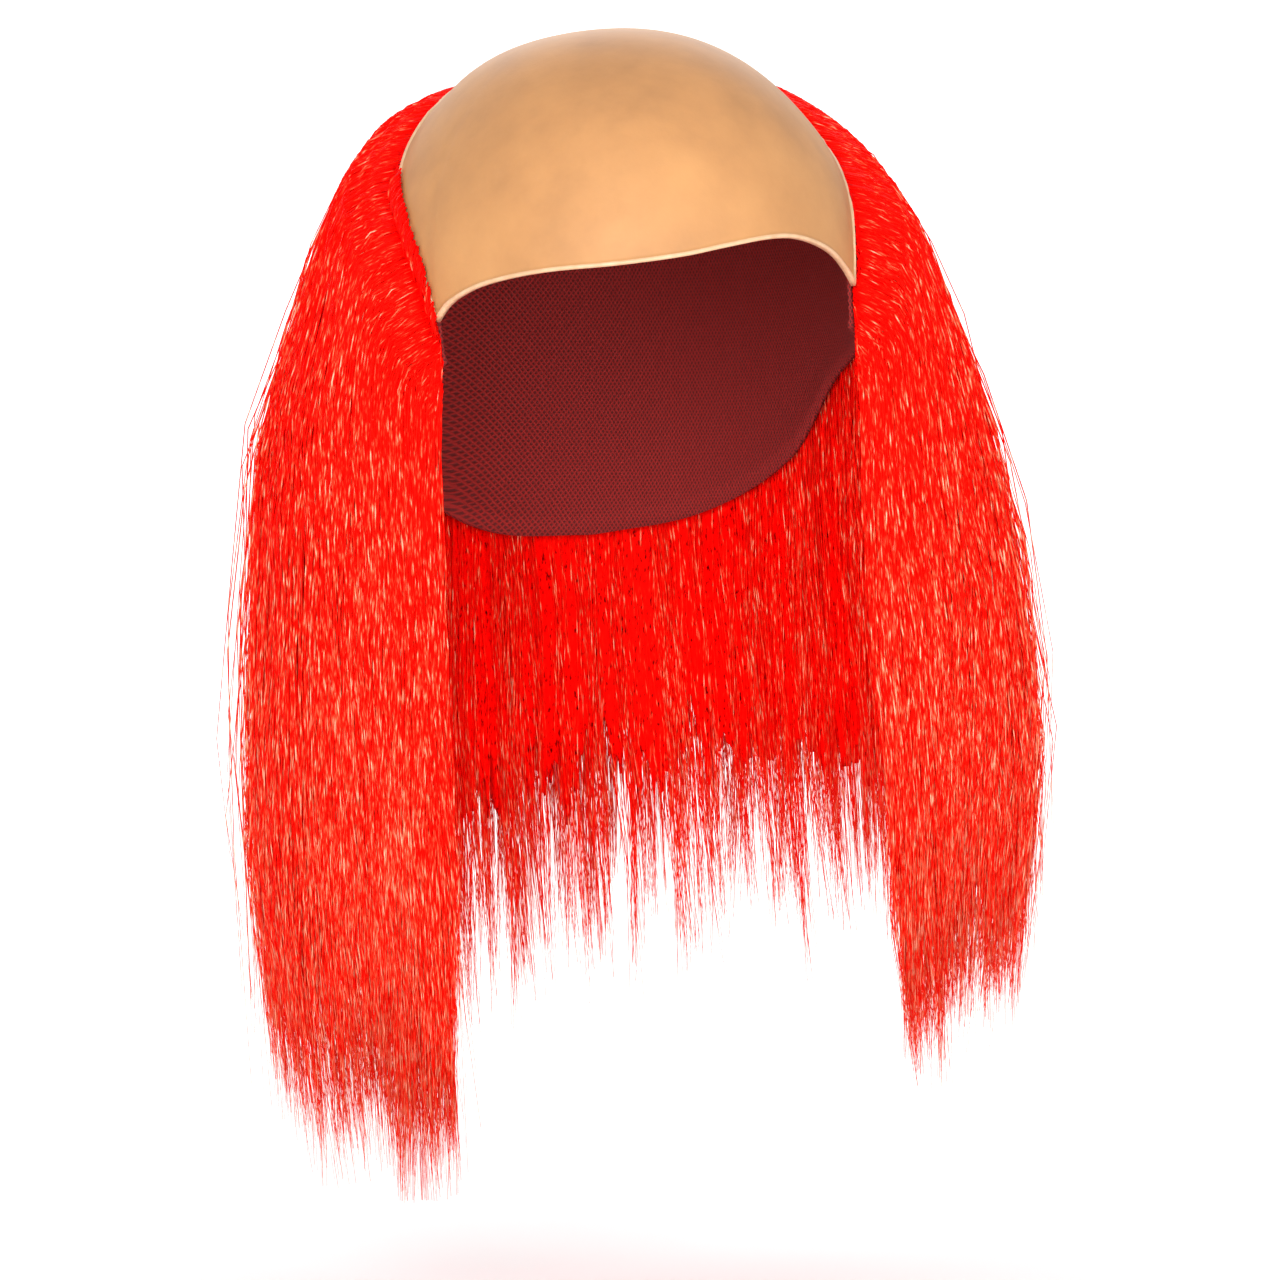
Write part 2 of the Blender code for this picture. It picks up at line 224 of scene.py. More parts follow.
def puff_direction(angle):
    """Level direction in which the hair stands off the head."""
    share = np.clip(way_back(angle), 0.0, 1.0)
    turn = np.radians(90.0 * share ** TURN_POWER + FRONT_SWING * (1.0 - share) ** 2)
    side = np.where(np.asarray(angle) % 360.0 < 180.0, 1.0, -1.0)
    return np.stack([side * np.cos(turn), np.sin(turn), np.zeros_like(turn)], axis=-1)


def puff_size(angle):
    """How far the hair's outline stands off the head where it is fullest."""
    share = np.clip(way_back(angle), 0.0, 1.0)
    near = np.clip((from_face(angle) - TEMPLE_ANGLE) / FRONT_ROUND, 0.0, 1.0)
    round_off = FRONT_BLUNT + (1.0 - FRONT_BLUNT) * np.sqrt(near * (2.0 - near))
    front = (FRONT_PUFF + (SIDE_PUFF - FRONT_PUFF) * share / FULL_SHARE) * round_off
    blend = (share - FULL_SHARE) / (1.0 - FULL_SHARE)
    back = SIDE_PUFF + (BACK_PUFF - SIDE_PUFF) * np.sin(blend * math.pi / 2)
    return np.where(share < FULL_SHARE, front, back)


def hang_point(angle, level, offset, leave_level):
    """Points that follow the head's form down to leave_level and hang plumb below it."""
    kept = np.minimum(level, leave_level)
    point = skin_point(angle, sweep_of(kept), offset)
    point[..., 2] -= level - kept
    return point


def inner_point(angle, level, lift):
    """Points on the inside of the hair. lift grows from 0 at the roots to 1."""
    edge = base_edge_level(angle)
    below = np.clip((level - edge) / (HAIR_DROP - edge), 0.0, 1.0)
    point = hang_point(angle, level, SKIN_GAP * lift, edge)
    point = point + puff_direction(angle) * (INNER_PUFF * below)[..., None]
    point[..., 0] += PLUMB_DRIFT * curve("drift", level / HAIR_DROP) * lift * below
    return point


def outer_point(angle, level, lift):
    """Points on the outside of the hair, with lift as in inner_point."""
    stand_off = curve("profile", np.minimum(level / HAIR_DROP, 1.0)) * puff_size(angle)
    point = hang_point(angle, level, ROOT_THICKNESS, CROWN_HEIGHT)
    point = point + puff_direction(angle) * (stand_off * lift)[..., None]
    point[..., 0] += PLUMB_DRIFT * curve("drift", level / HAIR_DROP) * lift
    return point


# Materials

LATEX_TINT = (
    (0.30, (0.390, 0.185, 0.070)), (0.50, (0.468, 0.223, 0.082)), (0.70, (0.530, 0.258, 0.095)))
# Pale tint of the edge bead: a painted highlight where the latex's edge catches the light
BEAD_HIGHLIGHT_TINT = ((0.35, (0.600, 0.360, 0.200)), (0.65, (0.700, 0.450, 0.270)))
NET_TINT = ((0.35, (0.110, 0.004, 0.004)), (0.95, (0.300, 0.010, 0.008)))
STAGE_TINT = ((0.3, (0.86, 0.86, 0.86)), (0.7, (0.89, 0.89, 0.89)))
# Core tint: the darkest stop is a painted shadow line along the dome's edge, and the rest is the
# hair's red
CORE_TINT_AND_SHADOW = (
    (0.00, (0.10, 0.0004, 0.0004)), (0.14, (0.80, 0.0006, 0.0004)), (0.50, (1.0, 0.002, 0.001)),
    (0.80, (1.0, 0.020, 0.008)))
# Strand tint: the darkest stops are painted shade at the roots and the palest are painted glints,
# with the hair's red between
STRAND_TINT_SHADE_AND_GLINTS = (
    (0.00, (0.70, 0.0004, 0.0004)), (0.20, (1.0, 0.0008, 0.0005)), (0.50, (1.0, 0.0040, 0.0013)),
    (0.62, (1.0, 0.045, 0.017)), (0.74, (1.0, 0.17, 0.080)), (0.92, (1.0, 0.45, 0.29)))

EVEN = (1.0, 1.0, 1.0)     # the same noise scale in each direction
CORE_STREAKS = (1.0, 1.0, 0.34)    # stretches the cores' streaks along the hair
CRIMP_STRETCH = (1.0, 1.0, 0.9)
GLINT_SCALE = 120.0       # painted glints, as pale streaks, to a metre of strand
# contrast of the streaks, which on the strands are painted glints
STREAK_AND_GLINT_CONTRAST = 1.55
TONE_SHARE = 0.40          # how much of the tint comes from the stored tone: the strand's own tone with its painted shade and glint rise
TINT_OFFSET = -0.485
NET_PITCH_SCALE = 290.0    # fineness of the net's mesh
NET_TURN = 45.0


def new_material(name):
    """Material with its node tree and its shader."""
    made = bpy.data.materials.new(name)
    made.use_nodes = True
    tree = made.node_tree
    shader = tree.nodes["Principled BSDF"]
    return made, tree, shader


def add_node(tree, kind, **values):
    """New node with some of its properties set."""
    node = tree.nodes.new(kind)
    for key, value in values.items():
        setattr(node, key, value)
    return node


def scaled_coordinates(tree, scale):
    """Object coordinates stretched by a scale, so noise runs along the hair or across it."""
    place = add_node(tree, "ShaderNodeTexCoord")
    mapping = add_node(tree, "ShaderNodeMapping")
    mapping.inputs["Scale"].default_value = scale
    tree.links.new(place.outputs["Object"], mapping.inputs["Vector"])
    return mapping.outputs["Vector"]


def noise(tree, vector, scale, detail, roughness):
    node = add_node(tree, "ShaderNodeTexNoise")
    node.inputs["Scale"].default_value = scale
    node.inputs["Detail"].default_value = detail
    node.inputs["Roughness"].default_value = roughness
    tree.links.new(vector, node.inputs["Vector"])
    return node.outputs["Fac"]


def ramp(tree, source, stops):
    """Colour from a value, through stops of a place and a colour each."""
    node = add_node(tree, "ShaderNodeValToRGB")
    node.color_ramp.elements[0].position = stops[0][0]
    node.color_ramp.elements[0].color = (*stops[0][1], 1.0)
    node.color_ramp.elements[1].position = stops[-1][0]
    node.color_ramp.elements[1].color = (*stops[-1][1], 1.0)
    for place, colour in stops[1:-1]:
        element = node.color_ramp.elements.new(place)
        element.color = (*colour, 1.0)
    tree.links.new(source, node.inputs["Fac"])
    return node.outputs["Color"]


def bump(tree, shader, height, strength, distance):
    node = add_node(tree, "ShaderNodeBump")
    node.inputs["Strength"].default_value = strength
    node.inputs["Distance"].default_value = distance
    tree.links.new(height, node.inputs["Height"])
    tree.links.new(node.outputs["Normal"], shader.inputs["Normal"])


def latex_material():
    """Matt flesh-coloured latex: cloudy tan mottling and a faint pore-like grain."""
    made, tree, shader = new_material("latex_skin")
    cloud = noise(tree, scaled_coordinates(tree, EVEN), scale=26.0, detail=5.0, roughness=0.6)
    tint = ramp(tree, cloud, LATEX_TINT)
    tree.links.new(tint, shader.inputs["Base Color"])
    grain = noise(tree, scaled_coordinates(tree, EVEN), scale=900.0, detail=3.0, roughness=0.5)
    bump(tree, shader, grain, strength=0.12, distance=0.0004)
    shader.inputs["Roughness"].default_value = 0.58
    shader.inputs["Subsurface Weight"].default_value = 0.10
    shader.inputs["Subsurface Radius"].default_value = (0.006, 0.003, 0.0015)
    shader.inputs["Specular IOR Level"].default_value = 0.35
    return made


def bead_highlight_material():
    """The rolled edge of the latex, painted paler than the rest as a highlight where it catches the
    light.
    """
    made, tree, shader = new_material("latex_edge_highlight")
    cloud = noise(tree, scaled_coordinates(tree, EVEN), scale=240.0, detail=3.0, roughness=0.5)
    tint = ramp(tree, cloud, BEAD_HIGHLIGHT_TINT)
    tree.links.new(tint, shader.inputs["Base Color"])
    shader.inputs["Roughness"].default_value = 0.45
    shader.inputs["Subsurface Weight"].default_value = 0.15
    shader.inputs["Subsurface Radius"].default_value = (0.004, 0.002, 0.001)
    return made


def strand_glints(tree):
    """Noise along each strand for its painted glints, from the distance stored on its points."""
    place = add_node(tree, "ShaderNodeAttribute")
    place.attribute_name = "strand_place"
    node = add_node(tree, "ShaderNodeTexNoise", noise_dimensions="1D")
    node.inputs["Scale"].default_value = GLINT_SCALE
    node.inputs["Detail"].default_value = 2.0
    node.inputs["Roughness"].default_value = 0.6
    tree.links.new(place.outputs["Fac"], node.inputs["W"])
    return node.outputs["Fac"]


def hair_material(name, stops, shine, by_strand):
    """Synthetic fibre: tone by strand with painted shade at the roots, pale streaks along it that
    on the strands are painted glints, and a fine crimp in relief.
    """
    made, tree, shader = new_material(name)
    # the stored tone holds the strand's own tone, painted shade at the roots and the rise of its
    # painted glints
    tone = add_node(tree, "ShaderNodeAttribute")
    tone.attribute_name = "strand_tone_and_painted_light"
    if by_strand:
        streak = strand_glints(tree)
    else:
        streak = noise(
            tree, scaled_coordinates(tree, CORE_STREAKS), scale=1100.0, detail=2.0, roughness=0.6)
    mixed = add_node(tree, "ShaderNodeMath", operation="MULTIPLY_ADD")
    mixed.inputs[1].default_value = STREAK_AND_GLINT_CONTRAST
    tree.links.new(streak, mixed.inputs[0])
    own_tone = add_node(tree, "ShaderNodeMath", operation="MULTIPLY_ADD")
    own_tone.inputs[1].default_value = TONE_SHARE
    own_tone.inputs[2].default_value = TINT_OFFSET
    tree.links.new(tone.outputs["Fac"], own_tone.inputs[0])
    tree.links.new(own_tone.outputs[0], mixed.inputs[2])
    tint = ramp(tree, mixed.outputs[0], stops)
    tree.links.new(tint, shader.inputs["Base Color"])
    crimp = noise(
        tree, scaled_coordinates(tree, CRIMP_STRETCH), scale=420.0, detail=2.0, roughness=0.6)
    bump(tree, shader, crimp, strength=0.35, distance=0.0006)
    shader.inputs["Roughness"].default_value = 0.46
    shader.inputs["Specular IOR Level"].default_value = shine
    shader.inputs["Specular Tint"].default_value = (1.0, 0.42, 0.24, 1.0)
    return made


def net_material():
    """Dark red elastic net: a fine diamond mesh in relief."""
    made, tree, shader = new_material("cap_net")
    vector = scaled_coordinates(tree, EVEN)
    heights = []
    for turn in (NET_TURN, -NET_TURN):
        mapping = add_node(tree, "ShaderNodeMapping")
        mapping.inputs["Rotation"].default_value = (math.radians(turn), math.radians(turn), 0.0)
        tree.links.new(vector, mapping.inputs["Vector"])
        wave = add_node(tree, "ShaderNodeTexWave", wave_type="BANDS", bands_direction="Z")
        wave.inputs["Scale"].default_value = NET_PITCH_SCALE
        wave.inputs["Distortion"].default_value = 1.2
        tree.links.new(mapping.outputs["Vector"], wave.inputs["Vector"])
        heights.append(wave.outputs["Fac"])
    mesh_height = add_node(tree, "ShaderNodeMath", operation="MAXIMUM")
    tree.links.new(heights[0], mesh_height.inputs[0])
    tree.links.new(heights[1], mesh_height.inputs[1])
    tint = ramp(tree, mesh_height.outputs[0], NET_TINT)
    tree.links.new(tint, shader.inputs["Base Color"])
    bump(tree, shader, mesh_height.outputs[0], strength=0.6, distance=0.0006)
    shader.inputs["Roughness"].default_value = 0.85
    return made


def stage_material():
    """Matt pale grey, almost even."""
    made, tree, shader = new_material("pale_stage")
    shade = noise(tree, scaled_coordinates(tree, EVEN), scale=3.0, detail=2.0, roughness=0.4)
    tint = ramp(tree, shade, STAGE_TINT)
    tree.links.new(tint, shader.inputs["Base Color"])
    shader.inputs["Roughness"].default_value = 0.9
    return made


# Meshes from arrays

def array_mesh(name, points, faces, finish):
    """Mesh object from an (n, 3) array of points and an (m, 4) or (m, 3) array of faces."""
    mesh = bpy.data.meshes.new(name)
    corners = faces.shape[1]
    mesh.vertices.add(len(points))
    mesh.vertices.foreach_set("co", np.ascontiguousarray(points, dtype=np.float32).ravel())
    mesh.loops.add(faces.size)
    mesh.loops.foreach_set("vertex_index", np.ascontiguousarray(faces, dtype=np.int32).ravel())
    mesh.polygons.add(len(faces))
    mesh.polygons.foreach_set("loop_start", np.arange(0, faces.size, corners, dtype=np.int32))
    mesh.polygons.foreach_set("loop_total", np.full(len(faces), corners, dtype=np.int32))
    mesh.update(calc_edges=True)
    mesh.validate()
    mesh.shade_smooth()
    mesh.materials.append(finish)
    made = bpy.data.objects.new(name, mesh)
    bpy.context.scene.collection.objects.link(made)
    return made


def grid_faces(columns, rows, closed):
    """Quads of a grid stored column by column."""
    count = columns if closed else columns - 1
    column = np.arange(count)[:, None]
    row = np.arange(rows - 1)[None, :]
    here = column * rows + row
    there = ((column + 1) % columns) * rows + row
    return np.stack([here, here + 1, there + 1, there], axis=-1).reshape(-1, 4)


def halves(quads):
    """Two triangles for each quad."""
    return np.concatenate([quads[:, [0, 1, 2]], quads[:, [0, 2, 3]]])


def store_on_points(piece, layer_name, values):
    """Write one value for each point, for the materials to read."""
    layer = piece.data.attributes.new(layer_name, "FLOAT", "POINT")
    layer.data.foreach_set("value", values.astype(np.float32))


def shell_mesh(name, inner, outer, closed, finish, poles=None):
    """Closed shell between two grids of columns and rows. poles are the inner and outer point that
    close the first row of a grid that goes all the way round."""
    columns, rows = inner.shape[:2]
    size = columns * rows
    faces = [halves(grid_faces(columns, rows, closed)),
             halves(grid_faces(columns, rows, closed)[:, ::-1] + size)]
    column = np.arange(columns if closed else columns - 1)
    following = (column + 1) % columns
    last = rows - 1
    faces.append(halves(np.stack([
        column * rows + last, column * rows + last + size,
        following * rows + last + size, following * rows + last], -1)))
    points = [outer.reshape(-1, 3), inner.reshape(-1, 3)]
    if poles is None:
        faces.append(halves(np.stack([
            column * rows, following * rows, following * rows + size, column * rows + size], -1)))
    else:
        points.append(np.array([poles[1], poles[0]]))
        outer_pole = np.full(len(column), 2 * size)
        faces.append(np.stack([outer_pole, column * rows, following * rows], -1))
        faces.append(np.stack([outer_pole + 1, following * rows + size, column * rows + size], -1))
    if not closed:
        row = np.arange(last)
        start = (columns - 1) * rows
        faces.append(halves(np.stack([row, row + size, row + size + 1, row + 1], -1)))
        faces.append(halves(np.stack([
            start + row, start + row + 1, start + row + size + 1, start + row + size], -1)))
    return array_mesh(name, np.concatenate(points), np.concatenate(faces), finish)


# Dome

DOME_COLUMNS = 240
DOME_ROWS = 48
DENT_DEPTH = 0.0007
EDGE_BEAD = 0.0006
BEAD_WIDTH = 0.0013

# Distances of the last rows from the edge, as shares of the bead's width
EDGE_STEPS = (6.0, 4.2, 2.8, 1.8, 1.0, 0.88, 0.70, 0.45, 0.22, 0.07, 0.0)
HIGHLIGHT_STEPS = 7             # how many of them lie on the bead and get its painted highlight
SLANT_BLUR = 4             # columns each way over which the rows' distances are evened out

DENT_LENGTH = 0.055        # typical distance from one dent to the next
DENT_CALM = 0.02           # distance from the edge within which the dents fade
DENT_SEED = 8
NICK_SHARE = 0.35          # unevenness of the bead behind the temples, as a share of its height
NICK_LENGTH = 0.006
NICK_START = 62.0          # degrees from the face
NICK_SEED = 3
WAVE_COUNT = 6
WAVE_SPREAD = (0.7, 1.5)   # shortest and longest wave as shares of the typical one


def soft_waves(points, seed, wavelength):
    """Smooth field from a few sine waves in set directions, about -1 to 1."""
    total = np.zeros(points.shape[:-1])
    generator = np.random.default_rng(seed)
    for _ in range(WAVE_COUNT):
        way = generator.normal(size=3)
        way /= np.linalg.norm(way)
        length = wavelength * generator.uniform(*WAVE_SPREAD)
        total += np.sin(points @ way * 2 * math.pi / length + generator.uniform(0, 2 * math.pi))
    return total / (WAVE_COUNT / 2)


def build_dome():
    """Thin shell with shallow dents and a half-round bead along its edge, painted pale as a
    highlight.
    """
    angle = np.linspace(-180.0, 180.0, DOME_COLUMNS, endpoint=False)
    edge = sweep_of(dome_edge_level(angle))
    steps = BEAD_WIDTH * np.array(EDGE_STEPS)
    slant = edge_slant(angle, dome_edge_level)
    blur = np.ones(2 * SLANT_BLUR + 1)
    slant = np.convolve(np.pad(slant, SLANT_BLUR, mode="wrap"), blur, "valid") / len(blur)
    near = edge[:, None] - steps[None, :] * slant[:, None] / CROWN_HEIGHT
    share = np.linspace(0.0, 1.0, DOME_ROWS + 1)[1:-1]
    sweep = np.concatenate([near[:, :1] * share[None, :], near], axis=1)
    rows = sweep.shape[1]
    turn = np.repeat(angle[:, None], rows, axis=1)
    middle = skin_point(turn, sweep, np.zeros_like(sweep))
    to_edge = (edge[:, None] - sweep) * CROWN_HEIGHT
    nicks = NICK_SHARE * soft_waves(middle, NICK_SEED, NICK_LENGTH) * (np.abs(turn) > NICK_START)
    across = 2.0 * steps / BEAD_WIDTH - 1.0
    bead = np.zeros(rows)
    bead[-len(steps):] = EDGE_BEAD * np.sqrt(np.clip(1.0 - across ** 2, 0.0, 1.0))
    calm = np.clip(to_edge / DENT_CALM, 0.0, 1.0)
    dents = DENT_DEPTH * soft_waves(middle, DENT_SEED, DENT_LENGTH) * calm
    outer = skin_point(turn, sweep, DOME_WALL + bead * (1.0 + nicks) + dents)
    inner = skin_point(turn, sweep, np.minimum(dents, 0.0))
    top_dent = DENT_DEPTH * soft_waves(crown_point(0.0), DENT_SEED, DENT_LENGTH)
    poles = (crown_point(min(top_dent, 0.0)), crown_point(DOME_WALL + top_dent))
    dome = shell_mesh("latex_dome", inner, outer, True, latex_material(), poles)
    dome.data.materials.append(bead_highlight_material())
    row_of = np.arange(len(dome.data.vertices)) % rows
    row_of[2 * DOME_COLUMNS * rows:] = 0
    corners = np.empty(len(dome.data.loops), dtype=np.int32)
    dome.data.loops.foreach_get("vertex_index", corners)
    # faces on the bead get the paler material, a painted highlight
    pale = row_of[corners.reshape(-1, 3)].min(axis=1) >= rows - HIGHLIGHT_STEPS
    dome.data.polygons.foreach_set("material_index", pale.astype(np.int32))
    return dome


dome_piece = build_dome()
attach(dome_piece, "root")
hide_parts("bald_dome")


# Net cap

NET_COLUMNS = 120
NET_ROWS = 26
NET_INSET = 1.0            # degrees from the temple to the net's front edge
HEM_DEPTH = 0.0006
HEM_START = 0.93           # share of the way down where the hem begins to thicken
HEM_ROUND = 0.03


def build_net():
    """Thin shell under the dome's margin, with a hem along its lower edge."""
    angle = np.linspace(
        TEMPLE_ANGLE + NET_INSET, 360.0 - NET_INSET - TEMPLE_ANGLE, NET_COLUMNS)
    top = sweep_of(hairline_level(angle)) - SEAM_LAP / CROWN_HEIGHT
    bottom = sweep_of(base_edge_level(angle))
    share = np.linspace(0.0, 1.0, NET_ROWS)
    sweep = top[:, None] + (bottom - top)[:, None] * share[None, :]
    turn = np.repeat(angle[:, None], NET_ROWS, axis=1)
    hem = HEM_DEPTH * np.clip((share - HEM_START) / HEM_ROUND, 0.0, 1.0)[None, :]
    outer = skin_point(turn, sweep, -SKIN_GAP * np.ones_like(sweep))
    inner = skin_point(turn, sweep, -SKIN_GAP - BASE_WALL - hem)
    return shell_mesh("net_cap", inner, outer, False, net_material())


net_piece = build_net()
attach(net_piece, "root")
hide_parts("base_cap")


# Hair cores: full dark bodies under the strands

CORE_ROWS = 26
CORE_ROW_POWER = 1.6       # rows lie closer together towards the roots
CORE_SIDE_COLUMNS = 150
CORE_BACK_COLUMNS = 240
CORE_FRONT_GAP = 0.8       # degrees from the temple to the core's front edge
CORE_SEAM_GAP = 0.3        # degrees between the cores of the sides and of the back
CORE_INSIDE = 0.05         # shares of the hair's depth at which the core's inside lies,
CORE_ROOT_FILL = 0.12      # to which the core reaches at the roots,
CORE_INSET = 0.90          # and to which it reaches further down
CORE_SINK = 0.0005         # how much its relief is sunk under the strands
CORE_STEP = 0.0004         # distance of the core from the dome's edge
CORE_SHADE = 0.0013        # width of the painted shadow line that it shows along that edge
TEMPLE_CORE_END = 0.91     # share of a strand's length that the core reaches at the temple
BACK_CORE_END = 0.80       # and at the back
BACK_CORE_SHARE = 0.40     # share of the way back over which that changes
FRONT_SHORT = 0.12         # share by which the core is cut shorter at its front edge
FRONT_SHORT_SPAN = 5.0     # degrees behind the temple where that ends
CORE_RAGGED = (-0.10, 0.05)    # unevenness of the core's end, as shares of its length
CORE_RAGGED_BLUR = (0.25, 0.5, 0.25)
CORE_TAPER = 0.3           # share of its length over which the core thins out
CORE_TAPER_POWER = 0.7
CORE_END_FILL = 0.03       # what is left of its thickness at the end
CORE_RISE = 0.030          # distance in which the core comes up under the strands
CORE_EDGE_SHADOW = -1.0      # paints the line along the dome's edge dark, as shadow
FINE_GROOVE = 0.0008
SLOW_GROOVE = 0.004
SLOW_BLUR = 4              # columns each way over which the slow grooves are evened out


def build_core(name, first, last, columns, seed):
    """Full body of hair between two angles, with grooves from root to tip and a ragged end."""
    generator = np.random.default_rng(seed)
    angle = np.linspace(first, last, columns)
    slant = edge_slant(angle, hairline_level)
    root = hairline_level(angle) + CORE_STEP * slant
    start = root + CORE_SHADE * slant
    tip = np.where(angle < 180.0, tip_level(angle, 1), tip_level(angle, -1))
    ragged = generator.uniform(*CORE_RAGGED, columns)
    ragged = np.convolve(np.pad(ragged, 1, mode="edge"), CORE_RAGGED_BLUR, mode="valid")
    behind_temple = (from_face(angle) - TEMPLE_ANGLE) / FRONT_SHORT_SPAN
    ragged -= FRONT_SHORT * np.clip(1.0 - behind_temple, 0.0, 1.0)
    backward = np.clip(way_back(angle) / BACK_CORE_SHARE, 0.0, 1.0)
    reach = TEMPLE_CORE_END + (BACK_CORE_END - TEMPLE_CORE_END) * backward
    end_level = root + (tip - root) * (reach + ragged)
    share = np.linspace(0.0, 1.0, CORE_ROWS - 1) ** CORE_ROW_POWER
    level = start[:, None] + (end_level - start)[:, None] * share[None, :]
    level = np.concatenate([root[:, None], level], axis=1)
    share = np.concatenate([[0.0], share])
    turn = np.repeat(angle[:, None], CORE_ROWS, axis=1)
    lift = 1.0 - np.exp(-(level - root[:, None]) / ROOT_SPRING)
    inner = inner_point(turn, level, lift)
    outer = outer_point(turn, level, lift)
    fine = generator.uniform(-1.0, 1.0, columns)
    slow = np.pad(generator.uniform(-1.0, 1.0, columns), SLOW_BLUR, mode="edge")
    slow = np.convolve(slow, np.ones(2 * SLOW_BLUR + 1) / (2 * SLOW_BLUR + 1), "valid")
    relief = (FINE_GROOVE * fine + SLOW_GROOVE * slow)[:, None] * lift
    taper = np.clip((1.0 - share) / CORE_TAPER, CORE_END_FILL, 1.0)[None, :] ** CORE_TAPER_POWER
    depth = outer - inner
    run = level - root[:, None]
    inside = inner + depth * CORE_INSIDE
    full = CORE_ROOT_FILL + (CORE_INSET - CORE_ROOT_FILL) * (1.0 - np.exp(-run / CORE_RISE))
    outside = inner + depth * (CORE_INSIDE + (full - CORE_INSIDE) * taper)[..., None]
    stand_off = (relief * full / CORE_INSET - CORE_SINK) * lift
    outside = outside + puff_direction(turn) * stand_off[..., None]
    core = shell_mesh(name, inside, outside, False, core_finish)
    # first row painted dark, as the shadow along the dome's edge
    row_painted_shadow = np.zeros(CORE_ROWS)
    row_painted_shadow[0] = CORE_EDGE_SHADOW
    store_on_points(core, "strand_tone_and_painted_light", np.tile(row_painted_shadow, 2 * columns))
    return core


core_finish = hair_material("hair_core", CORE_TINT_AND_SHADOW, shine=0.02, by_strand=False)
core_pieces = {
    "hair_right": build_core(
        "core_right", TEMPLE_ANGLE + CORE_FRONT_GAP, SIDE_END_ANGLE, CORE_SIDE_COLUMNS, seed=31),
    "hair_back": build_core(
        "core_back", SIDE_END_ANGLE + CORE_SEAM_GAP, 360.0 - CORE_SEAM_GAP - SIDE_END_ANGLE,
        CORE_BACK_COLUMNS, seed=32),
    "hair_left": build_core(
        "core_left", 360.0 - SIDE_END_ANGLE, 360.0 - CORE_FRONT_GAP - TEMPLE_ANGLE,
        CORE_SIDE_COLUMNS, seed=33)}
for node, piece in core_pieces.items():
    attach(piece, "root")
    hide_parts(node)


# Hair strands

STRAND_POINTS = 12
STRAND_RADIUS = 0.00022
STRAND_SHORTEST = 0.05
TIP_SLACK = 0.012          # how far the longest strands hang below HAIR_DROP
TIP_GAMMA = 1.6            # shape of the draw of the tips: few strands are much shorter
OUTER_SHORT = {1: 0.028, -1: 0.022}    # how much shorter the outermost strands are, by side
LOCK_TIP_SPREAD = 0.008
LOCK_TONE_SPREAD = 0.07
STRAND_TONE = 0.5
STRAND_TONE_SPREAD = 0.15
DEPTH_SLACK = 0.7          # share of a group's least depth that its strands may reach
EVEN_ROWS = 0.05           # share of a strand's length that its points divide in even steps,
ROW_POWER = 2.2            # and the growth of the steps of the rest, so the roots are finer
GATHER_LAG = 0.3           # gathering into locks begins after about a quarter of the length
ROOT_DEPTH = 0.10          # share of its depth in the hair at which a strand comes out
TIP_CLOSE_START = 0.82     # share of the length behind which the tips close in
TIP_CLOSE_POWER = 1.5
SWAY_RUN = 0.10            # distance in which the sway grows to its full size
SWAY_LENGTH = 0.12
CRIMP_RUN = 0.03
CRIMP_LENGTH = (0.05, 0.10)
STRAY_POWER = 3            # few strands stray far
STRAY_RUN_POWER = 1.3
THICKNESS_SPREAD = (0.7, 1.25)
TAPER_START = 0.7          # share of the length behind which a strand thins out
TAPER_SHARE = 0.75         # by this much
TAPER_POWER = 1.5
GUIDE_TURN = 40.0          # turns the tubes' corners differently from strand to strand
TINY = 1e-9                # keeps a length that is divided by from being nothing
ROOT_STEP = 0.0016         # strands start this far from the dome's edge
STRAND_SPRING = 0.0028     # distance in which a strand comes up to its depth in the hair
GLINT_RISE = 0.64           # how much paler a strand is painted at its tip than at its root, its painted glints growing denser towards the tip
TONE_PIVOT = 0.60          # share of the length where the tone is the strand's own
ROOT_SHADE = 0.3           # how much darker a strand is painted where it comes out from under the dome's edge, as shade
GLINT_SHIFT = 40.0        # metres over which strands' painted glints are shifted against each other
GOLDEN = 0.618034
COMB_END = 0.46            # share of the way back behind which strands hang below their roots

# per_lock strands share a lock. comb is how far they are combed forward, and comb_run the distance
# that this takes. weft is how much lower the innermost roots lie, gather how closely a lock's tips
# come together, tip_close how far the tips turn in, and stray how far the loosest strands stand off
# after stray_run.
STRAND_STYLE = {
    "per_lock": 26, "depth_bias": 0.5, "spread_angle": 1.5, "spread_depth": 0.08, "comb": 0.75,
    "comb_run": 0.070, "weft": 0.030, "tip_mean": 0.010, "tip_spread": 0.015, "gather": 0.45,
    "tip_close": 0.12, "sway": 0.0018, "crimp": 0.0005, "stray": 0.003, "stray_run": 0.12,
    "tone": 0.0, "points": STRAND_POINTS}


